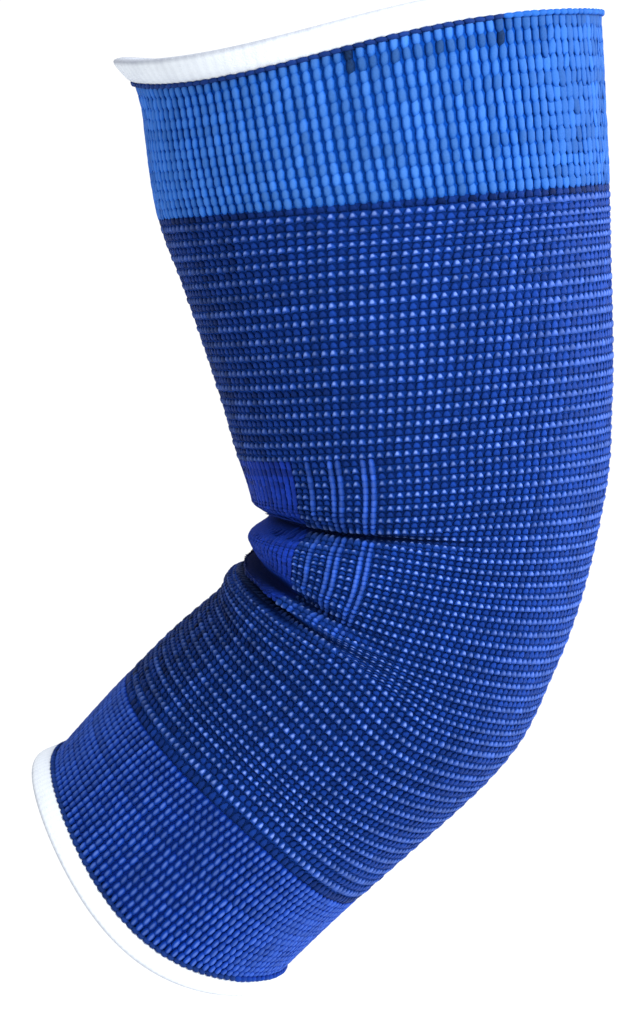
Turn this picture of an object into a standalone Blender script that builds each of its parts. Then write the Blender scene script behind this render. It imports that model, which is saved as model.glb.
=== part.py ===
"""Elbow support: a knitted elastic tube in the bent form that it has on an arm.

The knit is one hollow piece from rim to rim, with creases in the crook of the elbow.
A white elastic hem edges the opening at each end.

Metres, +Z up. The origin is the centre of the elbow, where the two limb axes meet.
The upper arm rises along +Z, the forearm points down towards -X, and the point of the
elbow is at +X. The XZ plane is the plane in which the arm bends.
"""

import math
from collections import namedtuple

import bmesh
import bpy
from mathutils import Vector

# Lengths along the two limb axes, from the centre of the elbow to the rims of the knit
ARM_LENGTH = 0.1120
FOREARM_LENGTH = 0.0875

# Outer widths in the plane of the bend, and outer depths across it
ARM_WIDTH = 0.0994
ARM_DEPTH = 0.1000
ELBOW_WIDTH = 0.0700
ELBOW_DEPTH = 0.0800
FOREARM_WIDTH = 0.0690
FOREARM_DEPTH = 0.0680

# Posture, in degrees
ARM_LEAN = 8.2
ELBOW_BEND = 51.6

# Cloth
KNIT_WALL = 0.0020
FOLD_DEPTH = 0.0040

# Hems
UPPER_HEM_HEIGHT = 0.0058
LOWER_HEM_HEIGHT = 0.0048
HEM_THICKNESS = 0.0030
HEM_CORNER = 0.0012
HEM_GAP = 0.0003
CROOK_FLARE = 24.0
BACK_FLARE = 6.0

# Fineness of the mesh
STEPS_ROUND = 48
HEM_CORNER_STEPS = 2

# Knit sections, from the upper rim to the lower rim.
# course: courses down from the upper rim
# turn: share of the elbow's bend
# along: distance from the elbow's centre, a share of the limb's length, down the sleeve
# crook, back: distances from the limb's axis, shares of half the limb's width
# depth: share of the limb's depth
# tilt: how far the section leans in the plane of the bend, in degrees
# bow: how far the two flanks reach down the sleeve, a share of the limb's depth
# skew: how far the flanks reach down towards the back and up towards the crook, the same share
Section = namedtuple("Section", "limb course turn along crook back depth tilt bow skew")

Limb = namedtuple("Limb", "length width depth")

LIMBS = {
    "arm": Limb(ARM_LENGTH, ARM_WIDTH, ARM_DEPTH),
    "upper elbow": Limb(ARM_LENGTH, ELBOW_WIDTH, ELBOW_DEPTH),
    "lower elbow": Limb(FOREARM_LENGTH, ELBOW_WIDTH, ELBOW_DEPTH),
    "forearm": Limb(FOREARM_LENGTH, FOREARM_WIDTH, FOREARM_DEPTH),
}

SECTIONS = (
    Section("arm", 0, 0.00, -1.000, 1.000, 1.000, 1.00, -0.9, 0.022, -0.047),
    Section("arm", 13, 0.00, -0.715, 1.000, 0.940, 0.97, 3.4, 0.000, 0.000),
    Section("arm", 22, 0.00, -0.595, 0.935, 0.910, 0.95, 2.5, 0.000, 0.000),
    Section("arm", 40, 0.00, -0.340, 0.830, 0.840, 0.87, 3.7, 0.000, 0.000),
    Section("arm", 47, 0.00, -0.247, 0.800, 0.805, 0.83, 3.7, 0.000, 0.000),
    Section("upper elbow", 60, 0.19, -0.105, 1.160, 0.950, 1.00, 0.0, 0.000, 0.000),
    Section("upper elbow", 73, 0.39, 0.014, 1.150, 0.855, 1.00, 0.0, 0.000, 0.000),
    Section("lower elbow", 82, 0.56, 0.133, 1.165, 0.850, 1.01, 0.0, 0.000, 0.000),
    Section("lower elbow", 94, 0.76, 0.272, 1.095, 0.940, 1.02, 0.0, 0.000, 0.000),
    Section("forearm", 111, 0.93, 0.497, 1.060, 1.000, 1.13, 0.0, 0.000, 0.000),
    Section("forearm", 127, 1.00, 0.735, 1.005, 1.025, 1.06, 1.5, -0.045, -0.030),
    Section("forearm", 139, 1.00, 1.000, 1.000, 0.995, 1.00, 1.2, 0.078, 0.070),
)

# Courses of the whole knit
COURSES = SECTIONS[-1].course

# Creases and rolls in the crook of the elbow.
# course: course at the crook line
# drift: courses that it moves down the sleeve by the time it dies out on the flank
# height: outwards, a share of the fold depth
# width: courses from the middle of the fold to its edge
# start, reach: degrees round from the crook line at which it is full, and at which it dies out
Fold = namedtuple("Fold", "course drift height width start reach")

FOLDS = (
    Fold(61.0, 0.0, -0.80, 5.0, 40.0, 120.0),
    Fold(69.0, 1.0, 0.50, 8.0, 30.0, 110.0),
    Fold(76.0, 6.0, -0.80, 3.4, 55.0, 115.0),
    Fold(83.0, 4.0, -1.00, 3.0, 50.0, 85.0),
    Fold(92.0, 4.0, 0.40, 7.0, 20.0, 90.0),
)

# Rings of the mesh: down to each course, their spacing in courses
RING_STEPS = ((54.0, 5.5), (72.0, 2.25), (90.0, 1.25), (105.0, 3.0), (COURSES, 5.5))

# Finishes: base colour and roughness
FINISHES = {
    "knit_blue": ((0.035, 0.115, 0.47, 1.0), 0.85),
    "hem_white": ((0.86, 0.87, 0.89, 1.0), 0.80),
}


def clear_scene():
    for item in list(bpy.data.objects):
        bpy.data.objects.remove(item, do_unlink=True)


def finish(name):
    colour, roughness = FINISHES[name]
    material = bpy.data.materials.new(name)
    material.use_nodes = True
    shader = material.node_tree.nodes["Principled BSDF"]
    shader.inputs["Base Color"].default_value = colour
    shader.inputs["Roughness"].default_value = roughness
    shader.inputs["Metallic"].default_value = 0.0
    return material


def section_sizes(section):
    """The numbers of one section in metres and degrees, in the order that a ring needs them."""
    limb = LIMBS[section.limb]
    return (
        section.turn,
        section.along * limb.length,
        section.crook * limb.width / 2.0,
        section.back * limb.width / 2.0,
        section.depth * limb.depth / 2.0,
        section.tilt,
        section.bow * limb.depth,
        section.skew * limb.depth,
    )


def slopes_through(stations, values):
    """Slope at each station of a smooth curve through the values."""
    last = len(stations) - 1
    spans = [stations[i + 1] - stations[i] for i in range(last)]
    rises = [(values[i + 1] - values[i]) / spans[i] for i in range(last)]
    slopes = [rises[0]]
    for i in range(1, last):
        weight = spans[i - 1] + spans[i]
        slopes.append((rises[i - 1] * spans[i] + rises[i] * spans[i - 1]) / weight)
    slopes.append(rises[-1])
    return slopes


STATIONS = [section.course for section in SECTIONS]
COLUMNS = list(zip(*[section_sizes(section) for section in SECTIONS]))
COLUMN_SLOPES = [slopes_through(STATIONS, column) for column in COLUMNS]


def section_at(course):
    """Section sizes at any course, read from smooth curves through the table."""
    upper = 0
    while upper < len(STATIONS) - 2 and course > STATIONS[upper + 1]:
        upper += 1
    span = STATIONS[upper + 1] - STATIONS[upper]
    t = (course - STATIONS[upper]) / span
    keep = (1.0 + 2.0 * t) * (1.0 - t) ** 2
    leave = t * (1.0 - t) ** 2 * span
    arrive = t * t * (t - 1.0) * span
    sizes = []
    for column, slopes in zip(COLUMNS, COLUMN_SLOPES):
        sizes.append(
            keep * column[upper]
            + (1.0 - keep) * column[upper + 1]
            + leave * slopes[upper]
            + arrive * slopes[upper + 1]
        )
    return sizes


def smooth_step(t):
    t = min(max(t, 0.0), 1.0)
    return t * t * (3.0 - 2.0 * t)


def fold_height(course, angle):
    """Height of the folds above the plain form, at degrees round from the crook line."""
    total = 0.0
    for fold in FOLDS:
        round_share = min(angle / fold.reach, 1.0)
        centre = fold.course + fold.drift * round_share
        away = (course - centre) / fold.width
        if abs(away) >= 1.0:
            continue
        fade = 1.0 - smooth_step((angle - fold.start) / (fold.reach - fold.start))
        total += fold.height * FOLD_DEPTH * fade * (0.5 + 0.5 * math.cos(math.pi * away))
    return total


def plain_point(course, theta):
    """Point of the outer form without its folds. theta is 0 at the back and pi at the crook."""
    turn, along, crook, back, depth, tilt, bow, skew = section_at(course)
    limb_angle = math.radians(turn * ELBOW_BEND - ARM_LEAN)
    ring_angle = limb_angle + math.radians(tilt)
    centre = Vector((-math.sin(limb_angle), 0.0, -math.cos(limb_angle))) * along
    down = Vector((-math.sin(ring_angle), 0.0, -math.cos(ring_angle)))
    across = Vector((math.cos(ring_angle), 0.0, -math.sin(ring_angle)))
    middle = (back - crook) / 2.0
    reach = (back + crook) / 2.0
    offset = across * (middle + reach * math.cos(theta))
    flank = Vector((0.0, depth * math.sin(theta), 0.0))
    reach_down = (bow + skew * math.cos(theta)) * math.sin(theta) ** 2
    return centre + offset + flank + down * reach_down


def plain_frame(course, theta):
    """Point, outward normal and direction down the sleeve on the form without its folds."""
    course_nudge = 0.5
    theta_nudge = math.radians(2.0)
    high = max(course - course_nudge, 0.0)
    low = min(course + course_nudge, float(COURSES))
    down = plain_point(low, theta) - plain_point(high, theta)
    round_way = plain_point(course, theta + theta_nudge) - plain_point(course, theta - theta_nudge)
    normal = down.cross(round_way).normalized()
    return plain_point(course, theta), normal, down.normalized()


def sleeve_point(course, theta, inset):
    """Point of the knit, inset from its outer face."""
    point, normal, _ = plain_frame(course, theta)
    from_crook = abs(math.degrees(math.pi - theta % math.tau))
    return point + normal * (fold_height(course, from_crook) - inset)


def ring_courses():
    courses = [0.0]
    for until, step in RING_STEPS:
        spaces = round((until - courses[-1]) / step)
        start = courses[-1]
        courses += [start + (until - start) * space / spaces for space in range(1, spaces + 1)]
    return courses


def angles_round():
    return [math.tau * step / STEPS_ROUND for step in range(STEPS_ROUND)]


def loft(name, rings, material):
    """A closed tube-shaped solid: each ring is joined to the next, and the last to the first."""
    mesh = bmesh.new()
    vertices = [[mesh.verts.new(point) for point in ring] for ring in rings]
    for index, ring in enumerate(vertices):
        following = vertices[(index + 1) % len(vertices)]
        for step in range(len(ring)):
            after = (step + 1) % len(ring)
            mesh.faces.new((ring[step], following[step], following[after], ring[after]))
    bmesh.ops.recalc_face_normals(mesh, faces=mesh.faces)
    data = bpy.data.meshes.new(name)
    mesh.to_mesh(data)
    mesh.free()
    data.shade_smooth()
    data.set_sharp_from_angle(angle=math.radians(50.0))
    data.materials.append(material)
    piece = bpy.data.objects.new(name, data)
    bpy.context.scene.collection.objects.link(piece)
    return piece


def knit_sleeve():
    """The knitted tube: its outer face down to the lower rim, and its inner face back up."""
    courses = ring_courses()
    rings = []
    for course in courses:
        rings.append([sleeve_point(course, theta, 0.0) for theta in angles_round()])
    for course in reversed(courses):
        rings.append([sleeve_point(course, theta, KNIT_WALL) for theta in angles_round()])
    return loft("knit_sleeve", rings, finish("knit_blue"))


def hem_outline(height):
    """Rounded outline of a hem's section, as pairs of height and offset from its middle."""
    half = HEM_THICKNESS / 2.0
    corner = min(HEM_CORNER, 0.9 * half, 0.45 * height)
    corners = (
        (corner, corner - half, 180.0),
        (height - corner, corner - half, 270.0),
        (height - corner, half - corner, 0.0),
        (corner, half - corner, 90.0),
    )
    outline = []
    for centre_height, centre_offset, first_angle in corners:
        for step in range(HEM_CORNER_STEPS + 1):
            angle = math.radians(first_angle + 90.0 * step / HEM_CORNER_STEPS)
            outline.append(
                (
                    centre_height + corner * math.cos(angle),
                    centre_offset + corner * math.sin(angle),
                )
            )
    return outline


def hem(name, course, outwards, height):
    """Elastic edging on a rim, which leans outwards, most of all at the crook side."""
    rings = []
    for rise, offset in hem_outline(height):
        ring = []
        for theta in angles_round():
            point, normal, down = plain_frame(course, theta)
            crook_share = (1.0 - math.cos(theta)) / 2.0
            flare = BACK_FLARE + (CROOK_FLARE - BACK_FLARE) * crook_share ** 2
            lean = rise * math.tan(math.radians(flare))
            side = offset + lean - KNIT_WALL / 2.0
            ring.append(point + down * outwards * (HEM_GAP + rise) + normal * side)
        rings.append(ring)
    return loft(name, rings, finish("hem_white"))


def build():
    clear_scene()
    knit_sleeve()
    hem("upper_hem", 0.0, -1.0, UPPER_HEM_HEIGHT)
    hem("lower_hem", float(COURSES), 1.0, LOWER_HEM_HEIGHT)


build()
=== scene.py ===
"""Looks of a knitted elbow support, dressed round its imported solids.

The support is one knitted tube in the bent form that it has on an arm. Its outer face is made
here stitch by stitch: plain blue cuffs, a body of light and dark courses, and a panel over the
crook with upright light lines. A backing tube carries the stitches and shows its inner face at
the open ends, and a white elastic hem edges each opening.

Metres, +Z up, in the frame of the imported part: the origin is the centre of the elbow, the upper
arm rises along +Z, the forearm points down towards -X, and the point of the elbow is at +X.
A stitch has a course, counted down from the upper rim, and an angle round the sleeve, which is 0
at the back and half a turn at the crook. Places down the form are counted in the same way. The
courses keep close to them, but for the creases, which hide some courses.
"""

from __future__ import annotations

import logging
import math
from dataclasses import dataclass
from dataclasses import field
from enum import Enum
from enum import IntEnum
from typing import NamedTuple

import bpy
import numpy as np
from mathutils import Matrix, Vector

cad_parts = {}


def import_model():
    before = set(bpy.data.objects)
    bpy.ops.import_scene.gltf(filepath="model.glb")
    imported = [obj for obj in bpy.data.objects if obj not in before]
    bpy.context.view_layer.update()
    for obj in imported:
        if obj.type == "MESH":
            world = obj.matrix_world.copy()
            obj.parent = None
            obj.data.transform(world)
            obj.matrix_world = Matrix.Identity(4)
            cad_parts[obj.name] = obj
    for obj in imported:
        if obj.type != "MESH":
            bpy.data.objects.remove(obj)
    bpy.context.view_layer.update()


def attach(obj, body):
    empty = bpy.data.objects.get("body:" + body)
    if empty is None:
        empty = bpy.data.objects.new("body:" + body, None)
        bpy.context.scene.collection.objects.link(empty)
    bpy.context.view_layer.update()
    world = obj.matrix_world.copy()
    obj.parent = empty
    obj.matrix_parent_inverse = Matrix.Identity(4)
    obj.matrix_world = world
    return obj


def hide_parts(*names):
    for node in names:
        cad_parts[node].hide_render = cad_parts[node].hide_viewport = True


LOG = logging.getLogger("elbow_support")
BODY = "root"
SEED = 7

Colour = tuple[float, float, float]
Range = tuple[float, float]


class Limb(Enum):
    """Stretches of the arm whose sizes a knit section follows."""

    ARM = "arm"
    UPPER_ELBOW = "upper elbow"
    LOWER_ELBOW = "lower elbow"
    FOREARM = "forearm"


class Section(NamedTuple):
    """One ring of the worn form, at a place down it, in shares of its limb's sizes.

    The turn is the share of the elbow's bend that the ring has taken, and the tilt is how many
    degrees further it leans. The bow and the skew curve it out of its plane on the flanks.
    """

    limb: Limb
    place: float
    turn: float
    along: float
    crook: float
    back: float
    depth: float
    tilt: float
    bow: float
    skew: float


SECTIONS = (
    Section(Limb.ARM, 0, 0.00, -1.000, 1.000, 1.000, 1.00, -0.9, 0.022, -0.047),
    Section(Limb.ARM, 13, 0.00, -0.715, 1.000, 0.940, 0.97, 3.4, 0.000, 0.000),
    Section(Limb.ARM, 22, 0.00, -0.595, 0.935, 0.910, 0.95, 2.5, 0.000, 0.000),
    Section(Limb.ARM, 40, 0.00, -0.340, 0.830, 0.840, 0.87, 3.7, 0.000, 0.000),
    Section(Limb.ARM, 47, 0.00, -0.247, 0.800, 0.805, 0.83, 3.7, 0.000, 0.000),
    Section(Limb.UPPER_ELBOW, 60, 0.19, -0.105, 1.160, 0.950, 1.00, 0.0, 0.000, 0.000),
    Section(Limb.UPPER_ELBOW, 73, 0.39, 0.014, 1.150, 0.855, 1.00, 0.0, 0.000, 0.000),
    Section(Limb.LOWER_ELBOW, 82, 0.56, 0.133, 1.165, 0.850, 1.01, 0.0, 0.000, 0.000),
    Section(Limb.LOWER_ELBOW, 94, 0.76, 0.272, 1.095, 0.940, 1.02, 0.0, 0.000, 0.000),
    Section(Limb.FOREARM, 111, 0.93, 0.497, 1.060, 1.000, 1.13, 0.0, 0.000, 0.000),
    Section(Limb.FOREARM, 127, 1.00, 0.735, 1.005, 1.025, 1.06, 1.5, -0.045, -0.030),
    Section(Limb.FOREARM, 139, 1.00, 1.000, 1.000, 0.995, 1.00, 1.2, 0.078, 0.070),
)

COURSES = float(SECTIONS[-1].place)
WALES = 133
CROOK_WALE = WALES // 2


class Fold(NamedTuple):
    """One crease or roll in the crook, which drifts down the form away from the crook line.

    Its height is in metres, its width in places down the form, and its angles are in degrees from
    the crook line: it fades between its start and its reach.
    """

    place: float
    drift: float
    height: float
    width: float
    start: float
    reach: float


FOLDS = (
    Fold(61.0, 0.0, -0.0032, 5.0, 40.0, 120.0),
    Fold(69.0, 1.0, 0.0020, 8.0, 30.0, 110.0),
    Fold(76.0, 6.0, -0.0032, 3.4, 55.0, 115.0),
    Fold(83.0, 4.0, -0.0040, 3.0, 50.0, 85.0),
    Fold(92.0, 4.0, 0.0016, 7.0, 20.0, 90.0),
)

# Sharp bottoms of the creases and the thin ridge between the two lower ones
FINE_FOLDS = (
    Fold(61.0, 0.0, -0.0018, 1.5, 95.0, 130.0),
    Fold(76.0, 6.0, -0.0009, 1.8, 70.0, 105.0),
    Fold(80.5, 4.0, 0.0009, 1.8, 45.0, 80.0),
    Fold(83.2, 3.2, -0.0011, 1.5, 78.0, 112.0),
)

# Angles from the crook line between which the fine folds begin
FINE_BEGINS = (15.0, 40.0)
# Depths at which a stitch in a fold or in a fine fold is in full painted shade
GLOOM_DEPTHS = (0.0045, 0.0020)
# Places and angles of the pocket between the two lower creases, which is painted in full shade
POCKET_PLACES = (76.0, 87.5)
POCKET_SPREAD = (44.0, 60.0)

# Places of the courses down the form, at the crook and at the back. The sharp crease over the
# panel hides five courses on the crook side, and the lowest crease nine
CROOK_COURSES = (0.0, 47.0, 59.0, 64.0, 77.0, 85.0, 94.0, 124.0, 139.0)
CROOK_PLACES = (0.0, 47.0, 60.6, 61.5, 76.0, 84.0, 85.5, 127.0, 139.0)
BACK_COURSES = (0.0, 60.0, 96.0, 111.0, 124.0, 139.0)
BACK_PLACES = (0.0, 60.0, 94.0, 111.0, 127.0, 139.0)
# Angles from the crook line between which the crook's places pass into the back's
CREASE_SPREAD = (75.0, 132.0)

# Drift of the upright wales round the sleeve, in wales towards the back, down the courses
WANDER_COURSES = (0.0, 13.0, 47.0, 60.0, 94.0, 124.0, 139.0)
WANDER_WALES = (4.6, 5.8, 0.55, 0.0, 0.0, 1.5, -0.4)

# Courses down from the rim over which the upper rim's lip dies away, and the power that keeps
# it near the crook
LIP_REACH = 3.0
LIP_POWER = 4
# Steps in courses and in degrees over which directions on the plain and folded form are measured
PLAIN_STEP = (0.5, 2.0)
FOLDED_STEP = (0.3, 1.0)
# Least length that a vector is divided by
TINY = 1e-12


class LimbSizes(NamedTuple):
    """Length along the limb's axis, width in the plane of the bend, and depth across it."""

    length: float
    width: float
    depth: float


class SurfaceFrame(NamedTuple):
    """Places on the knit, with the pitch of a course and of a whole turn's radian there."""

    point: np.ndarray
    down: np.ndarray
    normal: np.ndarray
    course_pitch: np.ndarray
    radian_pitch: np.ndarray


def from_crook_line(theta: np.ndarray) -> np.ndarray:
    """Angles from the crook line, in degrees."""
    return np.abs(np.degrees(math.pi - np.mod(theta, math.tau)))


def smooth_step(t: np.ndarray) -> np.ndarray:
    """Eases from 0 to 1."""
    t = np.clip(t, 0.0, 1.0)
    return t * t * (3.0 - 2.0 * t)


def share_of(value: np.ndarray, limits: Range) -> np.ndarray:
    """How far a value has come between two limits, from 0 to 1."""
    return np.clip((value - limits[0]) / (limits[1] - limits[0]), 0.0, 1.0)


def unit(vectors: np.ndarray) -> np.ndarray:
    """Each vector at length 1."""
    return vectors / np.maximum(np.linalg.norm(vectors, axis=1, keepdims=True), TINY)


@dataclass
class SleeveForm:
    """Worn form of the sleeve: a smooth tube through the sections, with the folds on it.

    Its sizes are in metres and degrees.
    """

    arm_length: float = 0.1120
    forearm_length: float = 0.0875
    arm_width: float = 0.0994
    arm_depth: float = 0.1000
    elbow_width: float = 0.0700
    elbow_depth: float = 0.0800
    forearm_width: float = 0.0690
    forearm_depth: float = 0.0680
    arm_lean: float = 8.2
    elbow_bend: float = 51.6
    wall: float = 0.0020
    lip: float = 0.0012
    stations: np.ndarray = field(init=False)
    columns: np.ndarray = field(init=False)
    slopes: np.ndarray = field(init=False)

    def __post_init__(self) -> None:
        """Works out the table of section sizes and the slopes of the curves through it."""
        self.stations = np.array([section.place for section in SECTIONS], float)
        self.columns = np.array([self.section_sizes(section) for section in SECTIONS])
        spans = np.diff(self.stations)[:, None]
        rises = np.diff(self.columns, axis=0) / spans
        inner = (rises[:-1] * spans[1:] + rises[1:] * spans[:-1]) / (spans[:-1] + spans[1:])
        self.slopes = np.vstack((rises[:1], inner, rises[-1:]))

    def limb_sizes(self, limb: Limb) -> LimbSizes:
        """Sizes of a stretch of the arm.

        Args:
            limb: the stretch that a section follows.

        Returns:
            Its length, width and depth.
        """
        sizes = {
            Limb.ARM: LimbSizes(self.arm_length, self.arm_width, self.arm_depth),
            Limb.UPPER_ELBOW: LimbSizes(self.arm_length, self.elbow_width, self.elbow_depth),
            Limb.LOWER_ELBOW: LimbSizes(self.forearm_length, self.elbow_width, self.elbow_depth),
            Limb.FOREARM: LimbSizes(self.forearm_length, self.forearm_width, self.forearm_depth),
        }
        return sizes[limb]

    def section_sizes(self, section: Section) -> tuple[float, ...]:
        """The sizes of one section.

        Args:
            section: a row of the table.

        Returns:
            Share of the bend, way along the limb, reach to the crook and to the back, half depth,
            tilt, bow and skew, in metres and degrees.
        """
        limb = self.limb_sizes(section.limb)
        return (
            section.turn,
            section.along * limb.length,
            section.crook * limb.width / 2.0,
            section.back * limb.width / 2.0,
            section.depth * limb.depth / 2.0,
            section.tilt,
            section.bow * limb.depth,
            section.skew * limb.depth,
        )

    def sizes_at(self, place: np.ndarray) -> np.ndarray:
        """Section sizes at any places, read from smooth curves through the table.

        Args:
            place: places down the form.

        Returns:
            A row for each size, with an entry for each place.
        """
        upper = np.clip(np.searchsorted(self.stations, place) - 1, 0, len(self.stations) - 2)
        span = self.stations[upper + 1] - self.stations[upper]
        t = (place - self.stations[upper]) / span
        keep = ((1.0 + 2.0 * t) * (1.0 - t) ** 2)[:, None]
        leave = (t * (1.0 - t) ** 2 * span)[:, None]
        arrive = (t * t * (t - 1.0) * span)[:, None]
        sizes = keep * self.columns[upper] + (1.0 - keep) * self.columns[upper + 1]
        return (sizes + leave * self.slopes[upper] + arrive * self.slopes[upper + 1]).T

    def plain_points(self, place: np.ndarray, theta: np.ndarray) -> np.ndarray:
        """Points of the outer form without its folds.

        Args:
            place: places down the form.
            theta: angles round the sleeve.

        Returns:
            A point for each place and angle.
        """
        turn, along, crook, back, depth, tilt, bow, skew = self.sizes_at(place)
        lip = self.lip * np.maximum(1.0 - place / LIP_REACH, 0.0) ** 2
        lip *= ((1.0 - np.cos(theta)) / 2.0) ** LIP_POWER
        limb = np.radians(turn * self.elbow_bend - self.arm_lean)
        ring = limb + np.radians(tilt)
        offset = (back - crook) / 2.0 + (back + crook) / 2.0 * np.cos(theta)
        reach_down = (bow + skew * np.cos(theta)) * np.sin(theta) ** 2
        x = -np.sin(limb) * along + np.cos(ring) * offset - np.sin(ring) * reach_down - lip
        z = -np.cos(limb) * along - np.sin(ring) * offset - np.cos(ring) * reach_down + lip
        return np.stack((x, depth * np.sin(theta), z), axis=1)

    def places(self, course: np.ndarray, theta: np.ndarray) -> np.ndarray:
        """Places of courses down the form, some of which are hidden in the creases.

        Args:
            course: courses down from the upper rim.
            theta: angles round the sleeve.

        Returns:
            A place for each course and angle.
        """
        away = smooth_step(share_of(from_crook_line(theta), CREASE_SPREAD))
        at_back = np.interp(course, BACK_COURSES, BACK_PLACES)
        at_crook = np.interp(course, CROOK_COURSES, CROOK_PLACES)
        return at_back + (1.0 - away) * (at_crook - at_back)

    def raised(self, folds: tuple[Fold, ...], place: np.ndarray, angle: np.ndarray) -> np.ndarray:
        """Heights of some folds.

        Args:
            folds: the folds that are added up.
            place: places down the form.
            angle: angles from the crook line, in degrees.

        Returns:
            Heights above the plain form in metres, below nothing in a crease.
        """
        total = np.zeros(len(place))
        for fold in folds:
            centre = fold.place + fold.drift * np.minimum(angle / fold.reach, 1.0)
            away = np.clip((place - centre) / fold.width, -1.0, 1.0)
            fade = 1.0 - smooth_step(share_of(angle, (fold.start, fold.reach)))
            total += fold.height * fade * (0.5 + 0.5 * np.cos(math.pi * away))
        return total

    def fine_heights(self, place: np.ndarray, angle: np.ndarray) -> np.ndarray:
        """Heights of the fine folds, which leave the crook line free."""
        begun = smooth_step(share_of(angle, FINE_BEGINS))
        return self.raised(FINE_FOLDS, place, angle) * begun

    def fold_heights(self, place: np.ndarray, theta: np.ndarray) -> np.ndarray:
        """Heights of all the folds above the plain form."""
        angle = from_crook_line(theta)
        return self.raised(FOLDS, place, angle) + self.fine_heights(place, angle)

    def plain_frame(self, place: np.ndarray, theta: np.ndarray) -> tuple[np.ndarray, ...]:
        """Directions on the form without its folds.

        Args:
            place: places down the form.
            theta: angles round the sleeve.

        Returns:
            Points, outward normals and directions down the sleeve.
        """
        nudge = math.radians(PLAIN_STEP[1])
        high = np.maximum(place - PLAIN_STEP[0], 0.0)
        low = np.minimum(place + PLAIN_STEP[0], COURSES)
        down = self.plain_points(low, theta) - self.plain_points(high, theta)
        way_round = self.plain_points(place, theta + nudge)
        way_round = way_round - self.plain_points(place, theta - nudge)
        return self.plain_points(place, theta), unit(np.cross(down, way_round)), unit(down)

    def points(self, course: np.ndarray, theta: np.ndarray, lift: np.ndarray) -> np.ndarray:
        """Points of the folded knit, lifted off its outer face.

        Args:
            course: courses down from the upper rim.
            theta: angles round the sleeve.
            lift: heights above the outer face in metres.

        Returns:
            A point for each course and angle.
        """
        place = self.places(course, theta)
        point, normal, _ = self.plain_frame(place, theta)
        return point + normal * (self.fold_heights(place, theta) + lift)[:, None]

    def depth_in_crease(self, course: np.ndarray, theta: np.ndarray) -> np.ndarray:
        """How far down in the creases a place on the knit lies, in metres."""
        return np.maximum(-self.fold_heights(self.places(course, theta), theta), 0.0)

    def gloom(self, course: np.ndarray, theta: np.ndarray) -> np.ndarray:
        """How dark the painted shade is on the knit in its creases.

        Args:
            course: courses down from the upper rim.
            theta: angles round the sleeve.

        Returns:
            A number for each, from 0 in the open to 1.
        """
        angle = from_crook_line(theta)
        place = self.places(course, theta)
        deep = np.maximum(-self.raised(FOLDS, place, angle), 0.0) / GLOOM_DEPTHS[0]
        thin = np.maximum(-self.fine_heights(place, angle), 0.0) / GLOOM_DEPTHS[1]
        inside = (place > POCKET_PLACES[0]) & (place < POCKET_PLACES[1])
        pocket = inside * (1.0 - smooth_step(share_of(angle, POCKET_SPREAD)))
        return np.clip(deep ** 2 + thin + pocket, 0.0, 1.0)

    def folded_frame(self, course: np.ndarray, theta: np.ndarray) -> SurfaceFrame:
        """Places, directions and pitches on the folded knit.

        Args:
            course: courses down from the upper rim.
            theta: angles round the sleeve.

        Returns:
            The frame at each course and angle.
        """
        level = np.zeros(len(course))
        nudge = math.radians(FOLDED_STEP[1])
        high = np.maximum(course - FOLDED_STEP[0], 0.0)
        low = np.minimum(course + FOLDED_STEP[0], COURSES)
        down = self.points(low, theta, level) - self.points(high, theta, level)
        way_round = self.points(course, theta + nudge, level)
        way_round = way_round - self.points(course, theta - nudge, level)
        return SurfaceFrame(
            self.points(course, theta, level),
            unit(down),
            unit(np.cross(down, way_round)),
            np.linalg.norm(down, axis=1) / (low - high),
            np.linalg.norm(way_round, axis=1) / (2.0 * nudge),
        )


class Yarn(IntEnum):
    """Kinds of stitch, by what they are knitted in."""

    CUFF = 0
    LIGHT = 1
    DARK = 2
    LINE = 3
    PLAIN = 4
    # The lower cuff has the cuff's yarn, made darker as painted shade
    LOWER_CUFF = 5
    RIM = 6


def wale_angles(wale: np.ndarray, course: np.ndarray) -> np.ndarray:
    """Angles round the sleeve of wales at courses, which wander a little."""
    wander = np.interp(course, WANDER_COURSES, WANDER_WALES)
    return math.pi + math.tau * (wale - CROOK_WALE + wander) / WALES


@dataclass(frozen=True)
class KnitPlan:
    """Which yarn shows at each stitch of the tube."""

    upper_cuff: int = 13
    lower_cuff: int = 124
    panel_top: int = 47
    panel_bottom: int = 86
    panel_plain: int = 22
    panel_lines: tuple[int, ...] = (24, 27, 28, 31, 32)

    def yarn_at(self, course: np.ndarray, from_crook: np.ndarray) -> np.ndarray:
        """Yarn of each stitch.

        Args:
            course: whole courses down from the upper rim.
            from_crook: whole wales from the crook line.

        Returns:
            The number of the yarn that shows.
        """
        light = (course - self.upper_cuff) % 2 == 1
        yarn = np.where(light, Yarn.LIGHT, Yarn.DARK)
        in_panel = (course >= self.panel_top) & (course < self.panel_bottom)
        yarn = np.where(in_panel & (from_crook < self.panel_plain), Yarn.PLAIN, yarn)
        yarn = np.where(in_panel & np.isin(from_crook, self.panel_lines), Yarn.LINE, yarn)
        yarn = np.where(course < self.upper_cuff, Yarn.CUFF, yarn)
        return np.where(course >= self.lower_cuff, Yarn.LOWER_CUFF, yarn)


def live(sockets: bpy.types.bpy_prop_collection) -> list[bpy.types.NodeSocket]:
    """The sockets that a node's options leave in use."""
    return [socket for socket in sockets if socket.enabled]


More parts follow.
